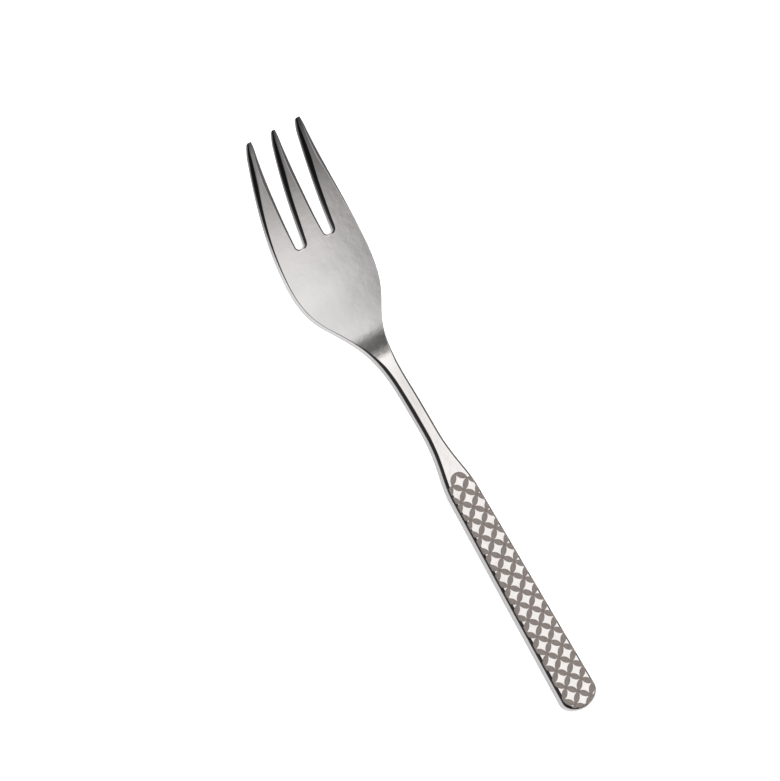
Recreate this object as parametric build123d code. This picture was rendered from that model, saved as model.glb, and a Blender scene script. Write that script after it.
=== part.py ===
from build123d import *
import math
import os

# A three-tine pastry fork, stamped in one piece from stainless steel, with a petal lattice on its handle.
# It lies front up on a table: X runs from the handle end to the tine tips, Y across, Z up. Millimetres.

# Lengths along the fork, one region after the other from the handle end
HANDLE_LENGTH = 54.0
SHOULDER_LENGTH = 16.0
NECK_LENGTH = 11.0
FLARE_LENGTH = 33.5
FLANK_LENGTH = 29.5
TINE_LENGTH = 25.0
END_ROUND_LENGTH = 3.5
BOWL_LOW_SETBACK = 23.0

# Widths seen from above
HANDLE_END_WIDTH = 9.5
HANDLE_TOP_WIDTH = 7.6
NECK_WIDTH = 3.65
BOWL_WIDTH = 21.9
TIP_SPREAD = 15.1
MIDDLE_ROOT_WIDTH = 5.6
MIDDLE_TIP_WIDTH = 1.55
OUTER_TIP_WIDTH = 1.95
SLOT_ROOT_WIDTH = 2.2
SLOT_ROOT_RADIUS = 0.9
TINE_TIP_RADIUS = 0.72

# Heights and thicknesses seen from the side
HANDLE_SLOPE = 2.6
HANDLE_END_THICKNESS = 2.15
HANDLE_TOP_THICKNESS = 2.1
ARCH_HEIGHT = 5.6
NECK_THICKNESS = 1.9
BOWL_THICKNESS = 1.9
TIP_HEIGHT = 14.8
TIP_THICKNESS = 0.95
TINE_SLOPE = 33.0
DISH_RADIUS = 150.0

# Slopes of the outline at the tips and along the slot walls
FLANK_TIP_SLOPE = -0.17
SLOT_OUTER_SLOPE = 0.015
MIDDLE_ROOT_SLOPE = -0.1
MIDDLE_TIP_SLOPE = -0.12

# How long each curve keeps the slope of its two ends, as a share of its length: first seen from above
SHOULDER_PULLS = (0.32, 0.48)
FLARE_PULLS = (0.63, 0.53)
FLANK_PULLS = (0.38, 0.36)
SLOT_PULLS = (0.45, 0.45)
MIDDLE_PULLS = (0.2, 0.5)

# and then seen from the side
ARCH_PULLS = (0.14, 0.4)
DIP_PULLS = (0.49, 0.55)
RISE_PULLS = (0.24, 0.33)

# Edges: the handle front is coined to a full round, the other edges are eased, and the neck blends the two
HANDLE_EDGE_RADIUS = 0.9
HEAD_EDGE_EASE = 0.4
BACK_EDGE_EASE = 0.2
BLEND_LENGTH = 6.0

# Depth polished off where the fork lies on the table, under the bowl and the handle end
REST_FLAT = 0.06

# Petal lattice on the handle front: circles that overlap by half, so every two share a petal
PETAL_LENGTH = 3.0
PETAL_GAP = 0.06
PETAL_SIDE_FLATS = 4
LATTICE_START = 59.1
MARKING_THICKNESS = 0.04
MARKING_CLEARANCE = 0.01
LEAST_PETAL_SHARE = 0.06

# How far a cutting shape reaches past what it cuts
REACH = 1.0

# Stations along X, measured from the handle end
x_shoulder = HANDLE_LENGTH
x_neck = x_shoulder + SHOULDER_LENGTH
x_bowl = x_neck + NECK_LENGTH
x_wide = x_bowl + FLARE_LENGTH
x_tip = x_wide + FLANK_LENGTH
x_arch = (x_neck + x_bowl) / 2
x_low = x_bowl + BOWL_LOW_SETBACK
x_slot = x_tip - TINE_LENGTH

# The handle's back rises from the table at one slope, and its front at another
back_slope = math.tan(math.radians(HANDLE_SLOPE))
back_shoulder = x_shoulder * back_slope
front_shoulder = back_shoulder + HANDLE_TOP_THICKNESS
front_slope = (front_shoulder - HANDLE_END_THICKNESS) / x_shoulder


def s_curve(start, end, start_slope, end_slope, pulls):
    """A smooth curve between two points, leaving and arriving at the given slopes."""
    span = end[0] - start[0]
    lead = pulls[0] * span
    trail = pulls[1] * span
    after_start = (start[0] + lead, start[1] + lead * start_slope)
    before_end = (end[0] - trail, end[1] - trail * end_slope)
    return Bezier(start, after_start, before_end, end)


def side_curve(end_z, handle_slope, shoulder_z, arch_z, low_z, tip_z):
    """One face of the blank seen from the side, from past the handle end to past the tips."""
    tine_slope = math.tan(math.radians(TINE_SLOPE))
    start = (-REACH, end_z - REACH * handle_slope)
    past_tip = (x_tip + REACH, tip_z + REACH * tine_slope)
    return [
        Line(start, (x_shoulder, shoulder_z)),
        s_curve((x_shoulder, shoulder_z), (x_arch, arch_z), handle_slope, 0, ARCH_PULLS),
        s_curve((x_arch, arch_z), (x_low, low_z), 0, 0, DIP_PULLS),
        s_curve((x_low, low_z), past_tip, 0, tine_slope, RISE_PULLS),
    ]


def profile(grow):
    """The blank seen from the side, on its plane of symmetry, with its front moved outward by grow."""
    tip_back = TIP_HEIGHT - TIP_THICKNESS / math.cos(math.radians(TINE_SLOPE))
    back = side_curve(0, back_slope, back_shoulder, ARCH_HEIGHT - NECK_THICKNESS, 0, tip_back)
    front = side_curve(
        HANDLE_END_THICKNESS + grow,
        front_slope,
        front_shoulder + grow,
        ARCH_HEIGHT + grow,
        BOWL_THICKNESS + grow,
        TIP_HEIGHT + grow,
    )
    ends = [
        Line(back[0] @ 0, front[0] @ 0),
        Line(back[-1] @ 1, front[-1] @ 1),
    ]
    return Plane.XZ * make_face(back + front + ends)


def half_outline(grow):
    """One half of the fork seen from above, from the handle end round to the middle of the centre tine."""
    end_y = HANDLE_END_WIDTH / 2 + grow
    shoulder_y = HANDLE_TOP_WIDTH / 2 + grow
    neck_y = NECK_WIDTH / 2 + grow
    bowl_y = BOWL_WIDTH / 2
    tip_y = TIP_SPREAD / 2
    slot_inner = [(x_slot, MIDDLE_ROOT_WIDTH / 2), (x_tip, MIDDLE_TIP_WIDTH / 2)]
    slot_outer = [(x_slot, MIDDLE_ROOT_WIDTH / 2 + SLOT_ROOT_WIDTH), (x_tip, tip_y - OUTER_TIP_WIDTH)]
    taper = (shoulder_y - end_y) / (x_shoulder - END_ROUND_LENGTH)
    return [
        EllipticalCenterArc((END_ROUND_LENGTH, 0), END_ROUND_LENGTH + grow, end_y, 90, arc_size=90),
        Line((END_ROUND_LENGTH, end_y), (x_shoulder, shoulder_y)),
        s_curve((x_shoulder, shoulder_y), (x_neck, neck_y), taper, 0, SHOULDER_PULLS),
        Line((x_neck, neck_y), (x_bowl, neck_y)),
        s_curve((x_bowl, neck_y), (x_wide, bowl_y), 0, 0, FLARE_PULLS),
        s_curve((x_wide, bowl_y), (x_tip, tip_y), 0, FLANK_TIP_SLOPE, FLANK_PULLS),
        Line((x_tip, tip_y), slot_outer[1]),
        s_curve(slot_outer[0], slot_outer[1], SLOT_OUTER_SLOPE, SLOT_OUTER_SLOPE, SLOT_PULLS),
        Line(slot_outer[0], slot_inner[0]),
        s_curve(slot_inner[0], slot_inner[1], MIDDLE_ROOT_SLOPE, MIDDLE_TIP_SLOPE, MIDDLE_PULLS),
    ]


def outline(grow):
    """The whole fork seen from above. The rim of the handle and neck is moved outward by grow."""
    half = half_outline(grow)
    centre_tip = Line(half[-1] @ 1, (half[-1] @ 1) - Vector(0, MIDDLE_TIP_WIDTH))
    plan = make_face(half + [edge.mirror(Plane.XZ) for edge in half] + [centre_tip])
    root_corners = plan.vertices().filter_by(lambda corner: abs(corner.X - x_slot) < TINE_TIP_RADIUS)
    plan = fillet(root_corners, SLOT_ROOT_RADIUS)
    tip_corners = plan.vertices().filter_by(lambda corner: abs(corner.X - x_tip) < TINE_TIP_RADIUS)
    return fillet(tip_corners, TINE_TIP_RADIUS)


def cut_blank(slab):
    """A slab stamped to the outline."""
    return slab & extrude(Pos(0, 0, -REACH) * outline(0), TIP_HEIGHT + 3 * REACH)


def zone(start, end):
    """Everything between two stations along X."""
    size = 4 * BOWL_WIDTH
    return Pos(start, 0, 0) * Box(end - start, size, size, align=(Align.MIN, Align.CENTER, Align.CENTER))


def rim_edges(solid, up, cut_x):
    """Edges where the front (up = 1) or back (up = -1) meets the walls, away from the cut across the neck."""
    broad = []
    walls = []
    for face in solid.faces():
        middle = face.center()
        lean = face.normal_at(middle).Z * up
        if lean > 0.5:
            broad.extend(face.edges())
        elif abs(lean) < 0.3 and abs(middle.X - cut_x) > BLEND_LENGTH / 4:
            walls.extend(face.edges())
    return [edge for edge in walls if any(edge.is_same(other) for other in broad)]


def drawn_across(face):
    """A side view drawn out across the whole width of the fork."""
    return extrude(Pos(0, BOWL_WIDTH, 0) * face, 2 * BOWL_WIDTH)


def handle():
    """The handle and the rear of the neck, flat on both faces, with the front rounded into the rim."""
    cut_x = x_arch - BLEND_LENGTH / 2
    solid = cut_blank(drawn_across(profile(0)) & zone(-2 * REACH, cut_x))
    solid = fillet(rim_edges(solid, 1, cut_x), HANDLE_EDGE_RADIUS)
    return chamfer(rim_edges(solid, -1, cut_x), BACK_EDGE_EASE)


def head():
    """The front of the neck, the bowl and the tines, swung about a far axis so that the bowl is dished."""
    cut_x = x_arch + BLEND_LENGTH / 2
    swing_axis = Axis((0, 0, DISH_RADIUS), (1, 0, 0))
    half_swing = math.degrees(math.asin((BOWL_WIDTH / 2 + REACH) / (DISH_RADIUS - TIP_HEIGHT - REACH)))
    slab = revolve(profile(0).rotate(swing_axis, -half_swing), swing_axis, 2 * half_swing)
    solid = cut_blank(slab & zone(cut_x, x_tip + 2 * REACH))
    solid = chamfer(rim_edges(solid, 1, cut_x), HEAD_EDGE_EASE)
    return chamfer(rim_edges(solid, -1, cut_x), BACK_EDGE_EASE)


def fork_body():
    """The whole steel fork: handle and head, with the neck drawn from one section to the other."""
    rear = handle()
    front = head()
    rear_section = rear.faces().sort_by(Axis.X)[-1]
    front_section = front.faces().sort_by(Axis.X)[0]
    below = (Align.CENTER, Align.CENTER, Align.MAX)
    table = Pos(0, 0, REST_FLAT) * Box(3 * x_tip, 2 * BOWL_WIDTH, BOWL_WIDTH, align=below)
    return rear + loft([rear_section, front_section]) + front - table


def petal(middle, turn):
    """One petal of the lattice seen from above, where two circles overlap, with a few flats on each side."""
    radius = PETAL_LENGTH / math.sqrt(2) - PETAL_GAP / 2
    half_angle = math.acos(PETAL_LENGTH / 2 / radius)
    side = []
    for step in range(PETAL_SIDE_FLATS):
        angle = half_angle * (1 - 2 * step / PETAL_SIDE_FLATS)
        side.append((radius * math.sin(angle), radius * math.cos(angle) - PETAL_LENGTH / 2))
    other_side = [(-x, -y) for x, y in side]
    return Pos(*middle) * Rot(0, 0, turn) * Polygon(*side, *other_side, align=None)


def petal_marking():
    """The dark skin on the handle front, petal by petal, lying on the flat steel inside the rounded rim."""
    step = PETAL_LENGTH / math.sqrt(2)
    rows = math.ceil((LATTICE_START + HANDLE_END_WIDTH) / step)
    petals = []
    for left in range(rows):
        for right in range(rows):
            for turn in (45, -45):
                ahead = left + right + 0.5
                across = right - left + (0.5 if turn == -45 else -0.5)
                middle = (LATTICE_START - ahead * step, across * step)
                if abs(middle[1]) < HANDLE_END_WIDTH / 2 and middle[0] > 0:
                    petals.append(petal(middle, turn))
    under = profile(MARKING_CLEARANCE)
    skin = drawn_across(profile(MARKING_CLEARANCE + MARKING_THICKNESS) - under)
    flat_front = extrude(outline(-HANDLE_EDGE_RADIUS), TIP_HEIGHT)
    marking = skin & flat_front & extrude(Compound(children=petals), TIP_HEIGHT)
    whole = petals[0].area * MARKING_THICKNESS
    return [solid for solid in marking.solids() if solid.volume > LEAST_PETAL_SHARE * whole]


os.makedirs("parts", exist_ok=True)
to_origin = Pos(-x_tip / 2, 0, -REST_FLAT)
fork = fork_body()
marks = petal_marking()
print("fork", fork.volume, fork.bounding_box())
print("petals", len(marks), sum(mark.volume for mark in marks))
export_step(to_origin * fork, "parts/fork_body.step")
export_step(to_origin * Compound(children=marks), "parts/petal_marking.step")
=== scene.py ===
import math

import bpy
import numpy as np
from mathutils import Matrix, Vector
from mathutils.geometry import delaunay_2d_cdt


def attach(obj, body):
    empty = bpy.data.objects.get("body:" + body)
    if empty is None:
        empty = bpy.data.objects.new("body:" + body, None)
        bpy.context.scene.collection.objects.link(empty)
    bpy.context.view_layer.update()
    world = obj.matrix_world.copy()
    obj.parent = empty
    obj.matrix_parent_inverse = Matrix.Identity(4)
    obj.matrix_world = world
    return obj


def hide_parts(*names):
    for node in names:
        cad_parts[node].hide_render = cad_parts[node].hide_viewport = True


# A three-tine pastry fork of stainless steel that lies on its back on a white table.
# It is polished, with a satin bowl, and its handle carries a lattice of matte petals.
# Sizes are millimetres, measured from the handle end along X, and become metres in the meshes.

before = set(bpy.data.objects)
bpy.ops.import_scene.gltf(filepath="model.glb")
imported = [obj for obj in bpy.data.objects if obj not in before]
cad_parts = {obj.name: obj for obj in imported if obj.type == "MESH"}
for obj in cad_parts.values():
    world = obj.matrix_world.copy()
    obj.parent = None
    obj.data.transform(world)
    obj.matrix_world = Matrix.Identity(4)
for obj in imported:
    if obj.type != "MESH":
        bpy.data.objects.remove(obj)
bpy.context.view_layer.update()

MM = 0.001

# Stations along the fork
SHOULDER_X = 54.0
NECK_X = 70.0
ARCH_X = 75.5
BOWL_X = 81.0
LOW_X = 104.0
WIDE_X = 114.5
SLOT_X = 119.0
TIP_X = 144.0
PAST_TIP = 1.0

# Widths seen from above, and how far the tines are drawn in over the last stretch to their tips
END_ROUND_LENGTH = 3.5
HANDLE_END_WIDTH = 9.5
HANDLE_TOP_WIDTH = 7.6
NECK_WIDTH = 3.65
BOWL_WIDTH = 21.9
TIP_SPREAD = 15.1
MIDDLE_ROOT_WIDTH = 5.6
MIDDLE_TIP_WIDTH = 1.55
OUTER_TIP_WIDTH = 1.95
SLOT_ROOT_WIDTH = 2.2
SLOT_ROOT_RADIUS = 0.9
TINE_TIP_RADIUS = 0.42
TIP_PINCH = 0.4
PINCH_LENGTH = 3.0

# Slopes of the outline at the tips and along the slot walls
FLANK_TIP_SLOPE = -0.17
SLOT_OUTER_SLOPE = 0.015
MIDDLE_ROOT_SLOPE = -0.1
MIDDLE_TIP_SLOPE = -0.12

# How long each curve keeps the slope of its two ends, as a share of its length: first seen from above
SHOULDER_PULLS = (0.32, 0.48)
FLARE_PULLS = (0.63, 0.53)
FLANK_PULLS = (0.38, 0.36)
SLOT_PULLS = (0.45, 0.45)
MIDDLE_PULLS = (0.2, 0.5)

# and then seen from the side
ARCH_PULLS = (0.14, 0.4)
DIP_PULLS = (0.66, 0.46)
RISE_PULLS = (0.24, 0.33)

# Heights and thicknesses seen from the side
BACK_SLOPE = math.tan(math.radians(2.6))
TINE_SLOPE = math.tan(math.radians(33.0))
HANDLE_END_THICKNESS = 2.15
HANDLE_TOP_THICKNESS = 2.1
ARCH_HEIGHT = 5.6
NECK_THICKNESS = 1.9
BOWL_THICKNESS = 1.9
TIP_HEIGHT = 14.8
TIP_THICKNESS = 0.95
DISH_RADIUS = 150.0
DISH_CHANGE = (72.5, 78.5)
REST_FLAT = 0.06

# Rounded edges: how far the front's rounding reaches in at stations along the outer rim and along the slots,
# the most it goes down, and the back's radius
HANDLE_EDGE_RADIUS = 0.9
RIM_REACHES = (
    (60.0, HANDLE_EDGE_RADIUS), (76.0, 1.0), (87.0, 0.9), (95.0, 0.2), (101.0, 0.12), (108.0, 0.15),
    (114.0, 0.25), (121.0, 0.45), (130.0, 0.95), (135.0, 1.38), (138.0, 1.24), (141.0, 0.95),
    (142.5, 0.64), (TIP_X, 0.36),
)
SLOT_REACHES = (
    (SLOT_X, 0.6), (124.0, 0.85), (130.0, 1.05), (135.0, 1.35), (138.0, 1.22), (141.0, 0.93),
    (142.5, 0.64), (TIP_X, 0.36),
)
EDGE_DEPTH = HANDLE_EDGE_RADIUS
BACK_EDGE_RADIUS = 0.2
EDGE_STEPS = 8
BACK_EDGE_STEPS = 4

# Spacing of the mesh: along the handle's sides, in steps round the small corners and along each curve of the
# outline and the profile, and across the faces, which are filled to a set precision
OUTLINE_STEP = 0.35
CORNER_STEPS = 9
END_STEPS = 29
SHOULDER_STEPS = 50
NECK_STEPS = 30
BOWL_STEPS = 100
SLOT_STEPS = 90
PROFILE_STEPS = 200
FACE_STEP = 0.7
FILL_PRECISION = 1e-7

# Petal lattice on the handle front: the petals just meet, and stop partway down the rounded rim.
# Each petal has so many points along and across, and points nearer than the merge distance become one
PETAL_LENGTH = 3.0
PETAL_OVERLAP = 0.1
LATTICE_START = 59.1
LATTICE_ROWS = 31
LATTICE_END = 63.0
PETAL_CLEARANCE = 0.01
PETAL_THICKNESS = 0.03
RIM_REACH = 0.45
PETAL_POINTS_LONG = 9
PETAL_POINTS_WIDE = 5
PETAL_MERGE = 0.001
PETAL_SHARP_ANGLE = math.radians(50)

# Steel: where the satin of the bowl begins and ends, and the roughness and tint of polished and satin steel
SATIN_START = (92.5, 97.0)
SATIN_END = (112.0, 124.0)
POLISHED_ROUGHNESS = (0.09, 0.16)
SATIN_ROUGHNESS = (0.22, 0.27)
POLISHED_TINT = "#e8e5e4"
SATIN_TINT = "#d7d6d6"

# its soft mottling and the height of the waves that the polish leaves
MOTTLE_SIZE = 5.0
MOTTLE_DETAIL = 3.0
MOTTLE_GAIN = 0.55
POLISH_WAVE = 0.05

# and the painted shade on the edges and walls: its tint, how strong it is at stations along the fork, how
# strong the painted shade over the whole section is at the two ends, and how far a surface faces up or
# sideways where the painted shade starts and ends
PAINTED_SHADE_TINT = "#605f60"
EDGE_PAINTED_SHADE = ((0.0, 0.7), (88.0, 0.75), (98.0, 0.5), (114.0, 0.5), (126.0, 0.9), (TIP_X, 1.0))
END_PAINTED_SHADE = ((0.0, 1.0), (0.3, 1.0), (0.8, 0.0), (128.0, 0.0), (136.0, 0.2), (141.0, 0.5), (TIP_X, 0.95))
EDGE_UPWARD = (0.82, 0.4)
EDGE_SIDEWAYS = (0.065, 0.16)

# Marking: the size, the detail and the two tints of its grain, and its roughness
GRAIN_SIZE = 0.5
GRAIN_DETAIL = 3.0
GRAIN_GAIN = 0.6
OXIDE_TINTS = ("#59514d", "#817974")
OXIDE_ROUGHNESS = 0.7

# Table: how far it reaches each way, in metres, its colour, and how matte and how bright it is
TABLE_REACH = 3.0
TABLE_COLOUR = "#f2f2f2"
TABLE_ROUGHNESS = 0.8
TABLE_SHEEN = 0.1
TABLE_GLOW = 0.6

# Light: levels by the angle round the fork's length, from the -Y horizon over the top to the +Y horizon in
# shares of a half turn, and by the direction along the fork, from -X to +X
WINDOW_ROUND = (
    (0.0, 0.03), (0.16, 0.04), (0.22, 0.6), (0.29, 1.0), (0.335, 1.0), (0.367, 0.88),
    (0.406, 0.36), (0.455, 0.04), (0.53, 0.05), (0.78, 0.04), (0.9, 0.1), (1.0, 0.15),
)
WINDOW_LENGTHWAYS = (
    (0.0, 0.05), (0.1, 0.1), (0.16, 0.16), (0.2, 0.21), (0.25, 0.4), (0.3, 0.62),
    (0.35, 0.82), (0.4, 1.0), (0.45, 1.0), (0.5, 0.9), (0.56, 0.86), (0.62, 0.9),
    (0.68, 1.0), (0.71, 1.0), (0.743, 0.24), (0.768, 0.05), (0.9, 0.03), (1.0, 0.2),
)
WINDOW_STRENGTH = 1.3
WINDOW_COLOUR = "#fffefd"

# The room's own levels, and the paler walls: how far up they fade out, and how far along and across the fork
# a direction points where they come in
HORIZON_LEVEL = 0.12
ZENITH_LEVEL = 0.03
ZENITH_HEIGHT = 0.5
WALL_LEVEL = 0.6
WALL_TOP = (0.74, 0.5)
WALL_BESIDE = (0.2, 0.45)
WALL_AHEAD = (0.0, 0.1)
WALL_ACROSS = (0.35, 0.6)

# The broad lamp above the table, which no reflection shows: metres and watts
LAMP_SIZE = 2.0
LAMP_HEIGHT = 1.2
LAMP_POWER = 30.5

# The camera: square to the handle's axis, on the fork's +Y side, 66 degrees above the handle front
CAMERA_ELEVATION = math.radians(66)
AXIS_TURN = math.radians(29.54)
LOOK_AHEAD = 82.05
LOOK_ASIDE = -3.42
IMAGE_WIDTH = 171.9
LENS = 200.0
SENSOR = 36.0

# Places of a mix node's sockets: its two values, its two colours, and the colour it gives
VALUE_A = 2
VALUE_B = 3
COLOUR_A = 6
COLOUR_B = 7
COLOUR_OUT = 2


def linear(hex_colour):
    """A linear colour from an sRGB hex value."""
    channels = []
    for start in (1, 3, 5):
        value = int(hex_colour[start:start + 2], 16) / 255
        channels.append(value / 12.92 if value <= 0.04045 else ((value + 0.055) / 1.055) ** 2.4)
    return (*channels, 1.0)


def add(tree, kind, inputs=None, **settings):
    """A new node with its settings, and its inputs linked to sockets or set to values."""
    node = tree.nodes.new(kind)
    for name, value in settings.items():
        setattr(node, name, value)
    for key, value in (inputs or {}).items():
        if isinstance(value, bpy.types.NodeSocket):
            tree.links.new(value, node.inputs[key])
        else:
            node.inputs[key].default_value = value
    return node


def set_stops(ramp, stops):
    """Gives a colour ramp its stops, each a place from 0 to 1 and a grey level."""
    elements = ramp.color_ramp.elements
    while len(elements) < len(stops):
        elements.new(0.5)
    for element, (position, level) in zip(elements, stops):
        element.position = position
        element.color = (level, level, level, 1)


def ease(x, span):
    """0 before a span of x and 1 after it, with a smooth change between."""
    share = np.clip((np.asarray(x) - span[0]) / (span[1] - span[0]), 0, 1)
    return share * share * (3 - 2 * share)


def line(start, end, steps):
    """Points along a straight line."""
    share = np.linspace(0, 1, steps + 1)[:, None]
    return (1 - share) * np.array(start, float) + share * np.array(end, float)


def s_curve(start, end, start_slope, end_slope, pulls, steps):
    """Points of a smooth curve that leaves and arrives at the given slopes."""
    span = end[0] - start[0]
    control = np.array([
        start,
        (start[0] + pulls[0] * span, start[1] + pulls[0] * span * start_slope),
        (end[0] - pulls[1] * span, end[1] - pulls[1] * span * end_slope),
        end,
    ])
    t = np.linspace(0, 1, steps + 1)[:, None]
    weights = np.hstack([(1 - t) ** 3, 3 * t * (1 - t) ** 2, 3 * t ** 2 * (1 - t), t ** 3])
    return weights @ control


def side_curve(end_z, slope, shoulder_z, arch_z, low_z, tip_z):
    """One face of the fork seen from the side: stations, heights and slopes."""
    past_tip = (TIP_X + PAST_TIP, tip_z + PAST_TIP * TINE_SLOPE)
    points = np.vstack([
        line((-PAST_TIP, end_z - PAST_TIP * slope), (SHOULDER_X, shoulder_z), PROFILE_STEPS)[:-1],
        s_curve((SHOULDER_X, shoulder_z), (ARCH_X, arch_z), slope, 0, ARCH_PULLS, PROFILE_STEPS)[:-1],
        s_curve((ARCH_X, arch_z), (LOW_X, low_z), 0, 0, DIP_PULLS, PROFILE_STEPS)[:-1],
        s_curve((LOW_X, low_z), past_tip, 0, TINE_SLOPE, RISE_PULLS, PROFILE_STEPS),
    ])
    return points[:, 0], points[:, 1], np.gradient(points[:, 1], points[:, 0])


# The two faces: the handle's back rises from the table at one slope, and its front at another
back_shoulder = SHOULDER_X * BACK_SLOPE
front_shoulder = back_shoulder + HANDLE_TOP_THICKNESS
front_slope = (front_shoulder - HANDLE_END_THICKNESS) / SHOULDER_X
tip_back = TIP_HEIGHT - TIP_THICKNESS * math.hypot(1, TINE_SLOPE)
front_side = side_curve(
    HANDLE_END_THICKNESS, front_slope, front_shoulder, ARCH_HEIGHT, BOWL_THICKNESS, TIP_HEIGHT
)
back_side = side_curve(0, BACK_SLOPE, back_shoulder, ARCH_HEIGHT - NECK_THICKNESS, 0, tip_back)


def face_heights(points, side):
    """Heights and upward normals of the front or the back at points seen from above."""
    x, y = points[:, 0], points[:, 1]
    stations, heights, slopes = side
    dished = ease(x, DISH_CHANGE)
    z = np.interp(x, stations, heights) + dished * y * y / (2 * DISH_RADIUS)
    normals = np.column_stack([-np.interp(x, stations, slopes), -dished * y / DISH_RADIUS, np.ones_like(x)])
    return z, normals / np.linalg.norm(normals, axis=1)[:, None]


def rounded_to(curve, end_x, radius, turn):
    """A curve that runs along X, trimmed and turned by a quarter circle into the straight end at end_x."""
    ahead = math.copysign(1, end_x - curve[len(curve) // 2, 0])
    run = np.gradient(curve, axis=0)
    run /= np.linalg.norm(run, axis=1)[:, None]
    inward = turn * np.column_stack([-run[:, 1], run[:, 0]])
    centres = curve + radius * inward
    distance = ahead * (centres[:, 0] - (end_x - ahead * radius))
    last = np.flatnonzero(distance < 0)[-1]
    share = -distance[last] / (distance[last + 1] - distance[last])
    centre = (1 - share) * centres[last] + share * centres[last + 1]
    first_arm = -((1 - share) * inward[last] + share * inward[last + 1])
    start = math.atan2(first_arm[1], first_arm[0])
    end = 0.0 if ahead > 0 else math.pi
    sweep = (end - start + math.pi) % (2 * math.pi) - math.pi
    angles = start + sweep * np.linspace(0, 1, CORNER_STEPS + 1)
    corner = centre + radius * np.column_stack([np.cos(angles), np.sin(angles)])
    return np.vstack([curve[:last + 1], corner])


def outline():
    """The fork seen from above, as a ring of points from the handle end along +Y to the tips and back."""
    half_end = HANDLE_END_WIDTH / 2
    half_top = HANDLE_TOP_WIDTH / 2
    half_neck = NECK_WIDTH / 2
    half_bowl = BOWL_WIDTH / 2
    half_tips = TIP_SPREAD / 2
    slot_inner = MIDDLE_ROOT_WIDTH / 2
    slot_outer = slot_inner + SLOT_ROOT_WIDTH
    tip_outer = half_tips - OUTER_TIP_WIDTH
    tip_inner = MIDDLE_TIP_WIDTH / 2
    taper = (half_top - half_end) / (SHOULDER_X - END_ROUND_LENGTH)
    angles = np.linspace(math.pi, math.pi / 2, END_STEPS + 1)
    handle_end = np.column_stack([END_ROUND_LENGTH * (1 + np.cos(angles)), half_end * np.sin(angles)])
    handle_side = line((END_ROUND_LENGTH, half_end), (SHOULDER_X, half_top), round(SHOULDER_X / OUTLINE_STEP))
    shoulder = s_curve((SHOULDER_X, half_top), (NECK_X, half_neck), taper, 0, SHOULDER_PULLS, SHOULDER_STEPS)
    neck = line((NECK_X, half_neck), (BOWL_X, half_neck), NECK_STEPS)
    flare = s_curve((BOWL_X, half_neck), (WIDE_X, half_bowl), 0, 0, FLARE_PULLS, BOWL_STEPS)
    flank = s_curve((WIDE_X, half_bowl), (TIP_X, half_tips), 0, FLANK_TIP_SLOPE, FLANK_PULLS, BOWL_STEPS)
    slot_far = s_curve(
        (SLOT_X, slot_outer), (TIP_X, tip_outer),
        SLOT_OUTER_SLOPE, SLOT_OUTER_SLOPE, SLOT_PULLS, SLOT_STEPS,
    )
    slot_near = s_curve(
        (SLOT_X, slot_inner), (TIP_X, tip_inner),
        MIDDLE_ROOT_SLOPE, MIDDLE_TIP_SLOPE, MIDDLE_PULLS, SLOT_STEPS,
    )

    # Toward the tips each tine is drawn in about its own middle
    tine_middle = (np.interp(flank[:, 0], *slot_far.T) + flank[:, 1]) / 2
    slot_middle = np.interp(slot_far[:, 0], flank[:, 0], tine_middle)
    for side, centre in ((flank, tine_middle), (slot_far, slot_middle), (slot_near, 0)):
        share = np.clip((side[:, 0] - TIP_X) / PINCH_LENGTH + 1, 0, 1)
        side[:, 1] = centre + (side[:, 1] - centre) * (1 - TIP_PINCH * share ** 2)

    # The corners at the tips and at the roots of the slots are rounded
    far_tip = rounded_to(slot_far, TIP_X, TINE_TIP_RADIUS, 1)
    far_root = rounded_to(slot_far[::-1], SLOT_X, SLOT_ROOT_RADIUS, 1)
    near_root = rounded_to(slot_near[::-1], SLOT_X, SLOT_ROOT_RADIUS, -1)
    near_tip = rounded_to(slot_near, TIP_X, TINE_TIP_RADIUS, -1)
    middle = len(slot_far) // 2
    half = np.vstack([
        handle_end[:-1],
        handle_side[:-1],
        shoulder[:-1],
        neck[:-1],
        flare[:-1],
        rounded_to(flank, TIP_X, TINE_TIP_RADIUS, -1),
        far_tip[:middle:-1],
        far_root[middle:],
        near_root[:middle:-1],
        near_tip[middle:],
    ])
    mirrored = half[:0:-1] * (1, -1)
    return np.vstack([half, mirrored])


def edge_reach(ring):
    """How far the front's rounded edge reaches in at each point of the outline."""
    x, y = ring[:, 0], np.abs(ring[:, 1])
    in_slots = (x > SLOT_X - OUTLINE_STEP) & (y < (TIP_SPREAD - OUTER_TIP_WIDTH) / 2)
    return np.where(in_slots, np.interp(x, *zip(*SLOT_REACHES)), np.interp(x, *zip(*RIM_REACHES)))


def outward(ring):
    """Unit normals of a ring of points, away from the metal."""
    run = np.roll(ring, -1, axis=0) - np.roll(ring, 1, axis=0)
    run /= np.linalg.norm(run, axis=1)[:, None]
    return np.column_stack([-run[:, 1], run[:, 0]])


def within(points, ring):
    """Which points lie inside a ring."""
    inside = np.zeros(len(points), bool)
    for (x0, y0), (x1, y1) in zip(ring, np.roll(ring, -1, axis=0)):
        crosses = (y0 > points[:, 1]) != (y1 > points[:, 1])
        if crosses.any():
            inside[crosses] ^= points[crosses, 0] < (x1 - x0) * (points[crosses, 1] - y0) / (y1 - y0) + x0
    return inside


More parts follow.
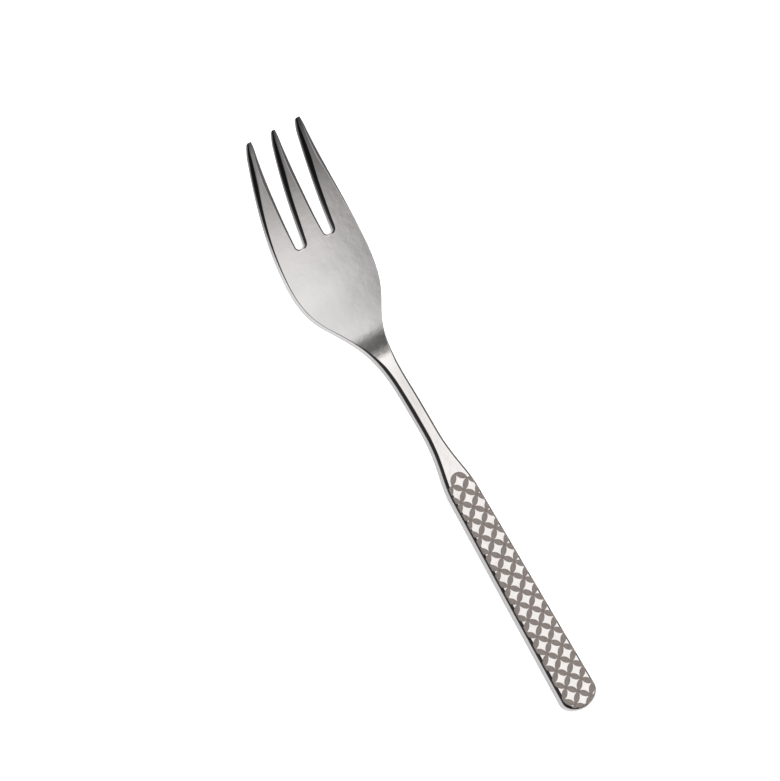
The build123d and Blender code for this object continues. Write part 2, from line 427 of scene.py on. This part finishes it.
def fill(ring):
    """Plan points inside a ring, on a grid, and the triangles that join them to the ring."""
    low = ring.min(axis=0)
    high = ring.max(axis=0)
    x, y = np.meshgrid(np.arange(low[0], high[0], FACE_STEP), np.arange(low[1], high[1], FACE_STEP))
    grid = np.column_stack([x.ravel(), y.ravel()])
    grid = grid[within(grid, ring)]
    gaps = np.array([np.min(np.hypot(*(ring - point).T)) for point in grid])
    grid = grid[gaps > FACE_STEP / 2]
    points = np.vstack([ring, grid])
    rim = list(range(len(ring)))
    result = delaunay_2d_cdt([Vector(point) for point in points], [], [rim], 0, FILL_PRECISION, True)
    source = np.array([ids[0] for ids in result[3]])
    triangles = source[np.array(result[2])]
    return grid, triangles[within(points[triangles].mean(axis=1), ring)]


def steel_body():
    """The fork as one closed mesh: front, rounded rim, side wall, rounded back edge and back."""
    ring = outline()
    away = outward(ring)
    front_reach = edge_reach(ring)
    back_reach = np.full(len(ring), BACK_EDGE_RADIUS)
    places = []
    normals = []
    rows = [(front_side, 1, front_reach, angle) for angle in np.linspace(0, math.pi / 2, EDGE_STEPS + 1)]
    rows += [(back_side, -1, back_reach, angle) for angle in np.linspace(math.pi / 2, 0, BACK_EDGE_STEPS + 1)]
    for side, up, reach, angle in rows:
        depth = np.minimum(reach, EDGE_DEPTH)
        plan = ring - away * (reach * (1 - math.sin(angle)))[:, None]
        z, lift = face_heights(plan, side)
        z = z - up * depth * (1 - math.cos(angle))
        places.append(np.column_stack([plan, z]))
        lean = away * (math.sin(angle) * depth / reach)[:, None]
        normals.append(np.column_stack([lean, np.zeros(len(ring))]) + up * lift * math.cos(angle))
    count = len(ring)
    faces = []
    for row in range(len(rows) - 1):
        for step in range(count):
            after = (step + 1) % count
            upper = row * count
            lower = upper + count
            faces.append((upper + step, upper + after, lower + after, lower + step))
    for row, side, up in ((0, front_side, 1), (len(rows) - 1, back_side, -1)):
        grid, triangles = fill(places[row][:, :2])
        first = sum(len(block) for block in places)
        for triangle in triangles:
            corners = [int(row * count + i if i < count else first + i - count) for i in triangle]
            faces.append(corners if up > 0 else corners[::-1])
        z, lift = face_heights(grid, side)
        places.append(np.column_stack([grid, z]))
        normals.append(up * lift)
    places = np.vstack(places)
    places[:, 2] = np.maximum(places[:, 2] - REST_FLAT, 0)
    places[:, 0] -= TIP_X / 2
    normals = np.vstack(normals)
    normals /= np.linalg.norm(normals, axis=1)[:, None]
    mesh = bpy.data.meshes.new("fork_steel")
    mesh.from_pydata((places * MM).tolist(), [], faces)
    mesh.shade_smooth()
    mesh.normals_split_custom_set_from_vertices(normals.tolist())
    piece = bpy.data.objects.new("fork_steel", mesh)
    bpy.context.scene.collection.objects.link(piece)
    return piece


def handle_front():
    """The flat of the handle front inside its rounded rim, laid flat, with its height kept at each point."""
    ring = outline()
    inner = ring - outward(ring) * HANDLE_EDGE_RADIUS
    side = inner[:len(ring) // 2]
    side = side[side[:, 0] < LATTICE_END][1:]
    z, _ = face_heights(side, front_side)
    count = len(side)
    plan = np.vstack([side, side * (1, -1)])
    plan[:, 0] -= TIP_X / 2
    faces = [(step, step + count, step + count + 1, step + 1) for step in range(count - 1)]
    mesh = bpy.data.meshes.new("handle_front")
    mesh.from_pydata([(x * MM, y * MM, 0) for x, y in plan], [], faces)
    heights = mesh.attributes.new("front_height", "FLOAT", "POINT")
    heights.data.foreach_set("value", np.tile((z - REST_FLAT) * MM, 2))
    return mesh


def petal_tree(material):
    """Geometry nodes that lay a petal on every edge of a square lattice and wrap it over the handle's rim."""
    tree = bpy.data.node_groups.new("petal_lattice", "GeometryNodeTree")
    half_petal = PETAL_LENGTH / 2
    radius = PETAL_LENGTH / math.sqrt(2) + PETAL_OVERLAP / 2
    grid_size = LATTICE_ROWS * PETAL_LENGTH
    sizes = {
        "Grid size": grid_size * MM,
        "Lattice middle": (LATTICE_START - TIP_X / 2 - grid_size / math.sqrt(2)) * MM,
        "Keep reach": (RIM_REACH + half_petal / 2) * MM,
        "Half petal": half_petal * MM,
        "Lens length": 2 * math.sqrt(radius ** 2 - half_petal ** 2) * MM,
        "Lens radius squared": (radius * MM) ** 2,
        "Rim reach": RIM_REACH * MM,
        "Rim radius": HANDLE_EDGE_RADIUS * MM,
        "Clearance": PETAL_CLEARANCE * MM,
        "Thickness": PETAL_THICKNESS * MM,
        "Front slope": front_slope,
    }
    tree.interface.new_socket("Geometry", in_out="INPUT", socket_type="NodeSocketGeometry")
    for name in sizes:
        tree.interface.new_socket(name, in_out="INPUT", socket_type="NodeSocketFloat")
    tree.interface.new_socket("Geometry", in_out="OUTPUT", socket_type="NodeSocketGeometry")
    given = add(tree, "NodeGroupInput").outputs

    # The lattice: a square grid stood on its corner, whose leading corner is at the lattice start
    grid = add(tree, "GeometryNodeMeshGrid", {
        "Size X": given["Grid size"],
        "Size Y": given["Grid size"],
        "Vertices X": LATTICE_ROWS + 1,
        "Vertices Y": LATTICE_ROWS + 1,
    }).outputs["Mesh"]
    shift = add(tree, "ShaderNodeCombineXYZ", {"X": given["Lattice middle"]}).outputs[0]
    lattice = add(tree, "GeometryNodeTransform", {
        "Geometry": grid,
        "Translation": shift,
        "Rotation": (0, 0, -math.pi / 4),
    }).outputs[0]
    ends = add(tree, "GeometryNodeInputMeshEdgeVertices").outputs
    run = add(tree, "ShaderNodeVectorMath", {
        0: ends["Position 2"],
        1: ends["Position 1"],
    }, operation="SUBTRACT").outputs[0]
    named = add(tree, "GeometryNodeStoreNamedAttribute", {
        "Geometry": lattice,
        "Name": "run",
        "Value": run,
    }, data_type="FLOAT_VECTOR", domain="EDGE").outputs[0]
    middles = add(tree, "GeometryNodeMeshToPoints", {"Mesh": named}, mode="EDGES").outputs[0]

    # Only the petals near the handle front stay
    away = add(tree, "GeometryNodeProximity", {0: given["Geometry"]}, target_element="FACES").outputs
    too_far = add(tree, "ShaderNodeMath", {
        0: away["Distance"],
        1: given["Keep reach"],
    }, operation="GREATER_THAN").outputs[0]
    kept = add(tree, "GeometryNodeDeleteGeometry", {
        "Geometry": middles,
        "Selection": too_far,
    }, domain="POINT").outputs[0]

    # One petal: a thin block drawn in to the lens where two circles overlap. The block is 2 wide and 1 high,
    # so that its width scales by the lens's half width, and its height by the film's thickness
    block_size = add(tree, "ShaderNodeCombineXYZ", {"X": given["Lens length"], "Y": 2.0, "Z": 1.0}).outputs[0]
    block = add(tree, "GeometryNodeMeshCube", {
        "Size": block_size,
        "Vertices X": PETAL_POINTS_LONG,
        "Vertices Y": PETAL_POINTS_WIDE,
        "Vertices Z": 2,
    }).outputs["Mesh"]
    at = add(tree, "ShaderNodeSeparateXYZ", {0: add(tree, "GeometryNodeInputPosition").outputs[0]}).outputs
    square = add(tree, "ShaderNodeMath", {0: at["X"], 1: at["X"]}, operation="MULTIPLY").outputs[0]
    rest = add(tree, "ShaderNodeMath", {
        0: given["Lens radius squared"],
        1: square,
    }, operation="SUBTRACT").outputs[0]
    chord = add(tree, "ShaderNodeMath", {0: rest}, operation="SQRT").outputs[0]
    half_width = add(tree, "ShaderNodeMath", {
        0: chord,
        1: given["Half petal"],
    }, operation="SUBTRACT", use_clamp=True).outputs[0]
    lens_place = add(tree, "ShaderNodeCombineXYZ", {
        "X": at["X"],
        "Y": add(tree, "ShaderNodeMath", {0: at["Y"], 1: half_width}, operation="MULTIPLY").outputs[0],
        "Z": add(tree, "ShaderNodeMath", {0: at["Z"], 1: 0.5}, operation="ADD").outputs[0],
    }).outputs[0]
    lens = add(tree, "GeometryNodeSetPosition", {"Geometry": block, "Position": lens_place}).outputs[0]
    lens = add(tree, "GeometryNodeMergeByDistance", {
        "Geometry": lens,
        "Distance": PETAL_MERGE * MM,
    }).outputs[0]

    # A copy of it on the middle of each edge that stayed, turned along that edge
    direction = add(tree, "GeometryNodeInputNamedAttribute", {
        "Name": "run",
    }, data_type="FLOAT_VECTOR").outputs[0]
    turn = add(tree, "FunctionNodeAlignRotationToVector", {"Vector": direction}, axis="X").outputs[0]
    petals = add(tree, "GeometryNodeInstanceOnPoints", {
        "Points": kept,
        "Instance": lens,
        "Rotation": turn,
    }).outputs[0]
    petals = add(tree, "GeometryNodeRealizeInstances", {"Geometry": petals}).outputs[0]

    # Beyond the flat, a petal follows the rounded rim as far as the rim reach
    level = add(tree, "ShaderNodeCombineXYZ", {"X": at["X"], "Y": at["Y"]}).outputs[0]
    nearest = add(tree, "GeometryNodeProximity", {
        0: given["Geometry"],
        "Source Position": level,
    }, target_element="FACES").outputs
    beyond = add(tree, "ShaderNodeMath", {
        0: nearest["Distance"],
        1: given["Rim reach"],
    }, operation="MINIMUM").outputs[0]
    angle = add(tree, "ShaderNodeMath", {0: beyond, 1: given["Rim radius"]}, operation="DIVIDE").outputs[0]
    film = add(tree, "ShaderNodeMath", {
        0: at["Z"],
        1: given["Thickness"],
        2: given["Clearance"],
    }, operation="MULTIPLY_ADD").outputs[0]
    film_radius = add(tree, "ShaderNodeMath", {0: given["Rim radius"], 1: film}, operation="ADD").outputs[0]
    sine = add(tree, "ShaderNodeMath", {0: angle}, operation="SINE").outputs[0]
    cosine = add(tree, "ShaderNodeMath", {0: angle}, operation="COSINE").outputs[0]
    aside = add(tree, "ShaderNodeVectorMath", {
        0: level,
        1: nearest["Position"],
    }, operation="SUBTRACT").outputs[0]
    aside = add(tree, "ShaderNodeVectorMath", {0: aside}, operation="NORMALIZE").outputs[0]
    out = add(tree, "ShaderNodeMath", {0: film_radius, 1: sine}, operation="MULTIPLY").outputs[0]
    offset = add(tree, "ShaderNodeVectorMath", {0: aside, "Scale": out}, operation="SCALE").outputs[0]
    plan = add(tree, "ShaderNodeVectorMath", {0: nearest["Position"], 1: offset}, operation="ADD").outputs[0]
    plan = add(tree, "ShaderNodeSeparateXYZ", {0: plan}).outputs
    front_height = add(tree, "GeometryNodeInputNamedAttribute", {
        "Name": "front_height",
    }, data_type="FLOAT").outputs[0]
    flat_height = add(tree, "GeometryNodeSampleNearestSurface", {
        "Mesh": given["Geometry"],
        "Value": front_height,
        "Sample Position": level,
    }, data_type="FLOAT").outputs[0]
    flat_height = add(tree, "ShaderNodeMath", {
        0: add(tree, "ShaderNodeSeparateXYZ", {0: offset}).outputs["X"],
        1: given["Front slope"],
        2: flat_height,
    }, operation="MULTIPLY_ADD").outputs[0]
    centre = add(tree, "ShaderNodeMath", {
        0: flat_height,
        1: given["Rim radius"],
    }, operation="SUBTRACT").outputs[0]
    height = add(tree, "ShaderNodeMath", {
        0: film_radius,
        1: cosine,
        2: centre,
    }, operation="MULTIPLY_ADD").outputs[0]
    place = add(tree, "ShaderNodeCombineXYZ", {"X": plan["X"], "Y": plan["Y"], "Z": height}).outputs[0]
    petals = add(tree, "GeometryNodeSetPosition", {"Geometry": petals, "Position": place}).outputs[0]
    petals = add(tree, "GeometryNodeMergeByDistance", {
        "Geometry": petals,
        "Distance": PETAL_MERGE * MM,
    }).outputs[0]
    petals = add(tree, "GeometryNodeSetMaterial", {"Geometry": petals, "Material": material}).outputs[0]
    add(tree, "NodeGroupOutput", {0: petals})
    return tree, sizes


def petal_lattice(material):
    """The petals on the handle front as one plain mesh."""
    carrier = bpy.data.objects.new("petal_carrier", handle_front())
    bpy.context.scene.collection.objects.link(carrier)
    tree, sizes = petal_tree(material)
    modifier = carrier.modifiers.new("petals", "NODES")
    modifier.node_group = tree
    for socket in tree.interface.items_tree:
        if socket.in_out == "INPUT" and socket.name in sizes:
            modifier[socket.identifier] = sizes[socket.name]
    evaluated = carrier.evaluated_get(bpy.context.evaluated_depsgraph_get())
    mesh = bpy.data.meshes.new_from_object(evaluated)
    mesh.name = "petal_lattice"
    bpy.data.objects.remove(carrier)
    mesh.shade_smooth()
    mesh.set_sharp_from_angle(angle=PETAL_SHARP_ANGLE)
    piece = bpy.data.objects.new("petal_lattice", mesh)
    bpy.context.scene.collection.objects.link(piece)
    return piece


def stainless_steel():
    """Stainless steel, polished with a satin bowl: a pale, nearly neutral grey with long soft reflections, a
    little uneven from the hand polish. Its rims and side walls, the handle end and the tine tips carry
    painted shade."""
    material = bpy.data.materials.new("stainless_steel")
    material.use_nodes = True
    tree = material.node_tree
    surface = tree.nodes["Principled BSDF"]
    place = add(tree, "ShaderNodeTexCoord").outputs
    along = add(tree, "ShaderNodeSeparateXYZ", {0: place["Object"]}).outputs["X"]
    facing = add(tree, "ShaderNodeSeparateXYZ", {0: place["Normal"]}).outputs
    sideways = add(tree, "ShaderNodeMath", {0: facing["Y"]}, operation="ABSOLUTE").outputs[0]
    station = add(tree, "ShaderNodeMapRange", {
        "Value": along,
        "From Min": -TIP_X / 2 * MM,
        "From Max": TIP_X / 2 * MM,
    }).outputs[0]
    mottle = add(tree, "ShaderNodeTexNoise", {
        "Vector": place["Object"],
        "Scale": 1 / (MOTTLE_SIZE * MM),
        "Detail": MOTTLE_DETAIL,
        "Roughness": MOTTLE_GAIN,
    }).outputs["Fac"]
    satin_share = add(tree, "ShaderNodeValToRGB", {"Fac": station})
    # Painted shade: one share along the fork for the darkened rims and walls, and one for the whole section
    # at the handle end and the tine tips
    edge_shade_share = add(tree, "ShaderNodeValToRGB", {"Fac": station})
    end_shade_share = add(tree, "ShaderNodeValToRGB", {"Fac": station})
    satin_stops = ((SATIN_START[0], 0), (SATIN_START[1], 1), (SATIN_END[0], 1), (SATIN_END[1], 0))
    for ramp, stops in ((satin_share, satin_stops), (edge_shade_share, EDGE_PAINTED_SHADE), (end_shade_share, END_PAINTED_SHADE)):
        set_stops(ramp, [(x / TIP_X, share) for x, share in stops])
    polished = add(tree, "ShaderNodeMapRange", {
        "Value": mottle,
        "To Min": POLISHED_ROUGHNESS[0],
        "To Max": POLISHED_ROUGHNESS[1],
    }).outputs[0]
    satin = add(tree, "ShaderNodeMapRange", {
        "Value": mottle,
        "To Min": SATIN_ROUGHNESS[0],
        "To Max": SATIN_ROUGHNESS[1],
    }).outputs[0]
    roughness = add(tree, "ShaderNodeMix", {
        "Factor": satin_share.outputs[0],
        VALUE_A: polished,
        VALUE_B: satin,
    }).outputs[0]
    edge = add(tree, "ShaderNodeMapRange", {
        "Value": facing["Z"],
        "From Min": EDGE_UPWARD[0],
        "From Max": EDGE_UPWARD[1],
    }, interpolation_type="SMOOTHSTEP").outputs[0]
    flank = add(tree, "ShaderNodeMapRange", {
        "Value": sideways,
        "From Min": EDGE_SIDEWAYS[0],
        "From Max": EDGE_SIDEWAYS[1],
    }, interpolation_type="SMOOTHSTEP").outputs[0]
    edge = add(tree, "ShaderNodeMath", {0: edge, 1: flank}, operation="MAXIMUM").outputs[0]
    # Painted shade on the rims and side walls: where a surface faces sideways or tilts far from up, the tint
    # darkens, most on the tines
    painted_shade = add(tree, "ShaderNodeMath", {0: edge, 1: edge_shade_share.outputs[0]}, operation="MULTIPLY").outputs[0]
    # Painted shade over the whole section at the handle end and the tine tips, which dims their highlights
    painted_shade = add(tree, "ShaderNodeMath", {0: painted_shade, 1: end_shade_share.outputs[0]}, operation="MAXIMUM").outputs[0]
    bright = add(tree, "ShaderNodeMix", {
        "Factor": satin_share.outputs[0],
        COLOUR_A: linear(POLISHED_TINT),
        COLOUR_B: linear(SATIN_TINT),
    }, data_type="RGBA").outputs[COLOUR_OUT]
    # The painted shade mixes the steel's tint toward the dark shade tint
    tint = add(tree, "ShaderNodeMix", {
        "Factor": painted_shade,
        COLOUR_A: bright,
        COLOUR_B: linear(PAINTED_SHADE_TINT),
    }, data_type="RGBA").outputs[COLOUR_OUT]
    waves = add(tree, "ShaderNodeBump", {
        "Height": mottle,
        "Strength": 1.0,
        "Distance": POLISH_WAVE * MM,
    }).outputs[0]
    tree.links.new(roughness, surface.inputs["Roughness"])
    tree.links.new(tint, surface.inputs["Base Color"])
    tree.links.new(waves, surface.inputs["Normal"])
    surface.inputs["Metallic"].default_value = 1.0
    return material


def etched_oxide():
    """Dark oxide etched into the steel: a matte brown grey with a fine uneven grain."""
    material = bpy.data.materials.new("etched_oxide")
    material.use_nodes = True
    tree = material.node_tree
    surface = tree.nodes["Principled BSDF"]
    place = add(tree, "ShaderNodeTexCoord").outputs["Object"]
    grain = add(tree, "ShaderNodeTexNoise", {
        "Vector": place,
        "Scale": 1 / (GRAIN_SIZE * MM),
        "Detail": GRAIN_DETAIL,
        "Roughness": GRAIN_GAIN,
    }).outputs["Fac"]
    tint = add(tree, "ShaderNodeMix", {
        "Factor": grain,
        COLOUR_A: linear(OXIDE_TINTS[0]),
        COLOUR_B: linear(OXIDE_TINTS[1]),
    }, data_type="RGBA").outputs[COLOUR_OUT]
    tree.links.new(tint, surface.inputs["Base Color"])
    surface.inputs["Roughness"].default_value = OXIDE_ROUGHNESS
    return material


def table():
    """The white table top that the fork lies on: a matte laminate that glows a little, so it stays white."""
    mesh = bpy.data.meshes.new("table")
    corners = [(-TABLE_REACH, -TABLE_REACH, 0), (TABLE_REACH, -TABLE_REACH, 0)]
    corners += [(TABLE_REACH, TABLE_REACH, 0), (-TABLE_REACH, TABLE_REACH, 0)]
    mesh.from_pydata(corners, [], [(0, 1, 2, 3)])
    piece = bpy.data.objects.new("table", mesh)
    bpy.context.scene.collection.objects.link(piece)
    material = bpy.data.materials.new("white_laminate")
    material.use_nodes = True
    surface = material.node_tree.nodes["Principled BSDF"]
    surface.inputs["Base Color"].default_value = linear(TABLE_COLOUR)
    surface.inputs["Roughness"].default_value = TABLE_ROUGHNESS
    surface.inputs["Specular IOR Level"].default_value = TABLE_SHEEN
    surface.inputs["Emission Color"].default_value = (1, 1, 1, 1)
    surface.inputs["Emission Strength"].default_value = TABLE_GLOW
    mesh.materials.append(material)
    return piece


def studio_light():
    """One long soft window high on the -Y side, paler walls round a dark room, and a broad lamp for the matte
    surfaces."""
    world = bpy.data.worlds.new("studio")
    world.use_nodes = True
    bpy.context.scene.world = world
    tree = world.node_tree
    sky = add(tree, "ShaderNodeTexCoord").outputs["Generated"]
    direction = add(tree, "ShaderNodeSeparateXYZ", {0: sky}).outputs
    toward = add(tree, "ShaderNodeMath", {0: direction["Y"], 1: -1.0}, operation="MULTIPLY").outputs[0]
    angle = add(tree, "ShaderNodeMath", {0: direction["Z"], 1: toward}, operation="ARCTAN2").outputs[0]
    turn = add(tree, "ShaderNodeMath", {0: angle, 1: math.pi}, operation="DIVIDE").outputs[0]
    round_ramp = add(tree, "ShaderNodeValToRGB", {"Fac": turn})
    lengthways = add(tree, "ShaderNodeMapRange", {"Value": direction["X"], "From Min": -1.0}).outputs[0]
    long_ramp = add(tree, "ShaderNodeValToRGB", {"Fac": lengthways})
    set_stops(round_ramp, WINDOW_ROUND)
    set_stops(long_ramp, WINDOW_LENGTHWAYS)
    window = add(tree, "ShaderNodeMath", {
        0: round_ramp.outputs[0],
        1: long_ramp.outputs[0],
    }, operation="MULTIPLY").outputs[0]
    room = add(tree, "ShaderNodeMapRange", {
        "Value": direction["Z"],
        "From Max": ZENITH_HEIGHT,
        "To Min": HORIZON_LEVEL,
        "To Max": ZENITH_LEVEL,
    }).outputs[0]
    beside = add(tree, "ShaderNodeMath", {0: direction["X"]}, operation="ABSOLUTE").outputs[0]
    beside = add(tree, "ShaderNodeMapRange", {
        "Value": beside,
        "From Min": WALL_BESIDE[0],
        "From Max": WALL_BESIDE[1],
    }, interpolation_type="SMOOTHSTEP").outputs[0]
    low = add(tree, "ShaderNodeMapRange", {
        "Value": direction["Z"],
        "From Min": WALL_TOP[0],
        "From Max": WALL_TOP[1],
        "To Max": WALL_LEVEL,
    }, interpolation_type="SMOOTHSTEP").outputs[0]
    ahead = add(tree, "ShaderNodeMapRange", {
        "Value": direction["X"],
        "From Min": WALL_AHEAD[0],
        "From Max": WALL_AHEAD[1],
    }).outputs[0]
    across = add(tree, "ShaderNodeMapRange", {
        "Value": toward,
        "From Min": WALL_ACROSS[0],
        "From Max": WALL_ACROSS[1],
    }, interpolation_type="SMOOTHSTEP").outputs[0]
    sides = add(tree, "ShaderNodeMath", {0: ahead, 1: across}, operation="MAXIMUM").outputs[0]
    walls = add(tree, "ShaderNodeMath", {0: low, 1: beside}, operation="MULTIPLY").outputs[0]
    room = add(tree, "ShaderNodeMath", {0: walls, 1: sides, 2: room}, operation="MULTIPLY_ADD").outputs[0]
    strength = add(tree, "ShaderNodeMath", {0: window, 1: WINDOW_STRENGTH, 2: room}, operation="MULTIPLY_ADD")
    tree.links.new(strength.outputs[0], tree.nodes["Background"].inputs["Strength"])
    tree.nodes["Background"].inputs["Color"].default_value = linear(WINDOW_COLOUR)
    light = bpy.data.lights.new("broad_lamp", "AREA")
    light.size = LAMP_SIZE
    light.energy = LAMP_POWER
    lamp = bpy.data.objects.new("broad_lamp", light)
    lamp.location = (0, 0, LAMP_HEIGHT)
    lamp.visible_glossy = False
    bpy.context.scene.collection.objects.link(lamp)


def photo_camera():
    """A long lens that looks down on the fork, turned so that the fork runs up and to the left."""
    along = Vector((1, 0, front_slope)).normalized()
    above = Vector((-front_slope, 0, 1)).normalized()
    left = Vector((0, 1, 0))
    toward = math.cos(CAMERA_ELEVATION) * left + math.sin(CAMERA_ELEVATION) * above
    aside = math.cos(CAMERA_ELEVATION) * above - math.sin(CAMERA_ELEVATION) * left
    right = -math.sin(AXIS_TURN) * along + math.cos(AXIS_TURN) * aside
    up = math.cos(AXIS_TURN) * along + math.sin(AXIS_TURN) * aside
    handle_end = Vector((-TIP_X / 2, 0, HANDLE_END_THICKNESS - REST_FLAT))
    target = (handle_end + LOOK_AHEAD * along + LOOK_ASIDE * aside) * MM
    lens = bpy.data.cameras.new("photo_camera")
    lens.lens = LENS
    lens.sensor_width = SENSOR
    lens.sensor_fit = "HORIZONTAL"
    camera = bpy.data.objects.new("photo_camera", lens)
    bpy.context.scene.collection.objects.link(camera)
    place = target + toward * (IMAGE_WIDTH * MM * LENS / SENSOR)
    turn = Matrix((right, up, toward)).transposed().to_4x4()
    camera.matrix_world = Matrix.Translation(place) @ turn
    bpy.context.scene.camera = camera


steel = stainless_steel()
oxide = etched_oxide()

body = steel_body()
body.data.materials.append(steel)
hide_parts("fork_body")
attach(body, "root")

petals = petal_lattice(oxide)
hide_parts("petal_marking")
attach(petals, "root")

table()
studio_light()
photo_camera()
bpy.context.scene.view_settings.view_transform = "Standard"
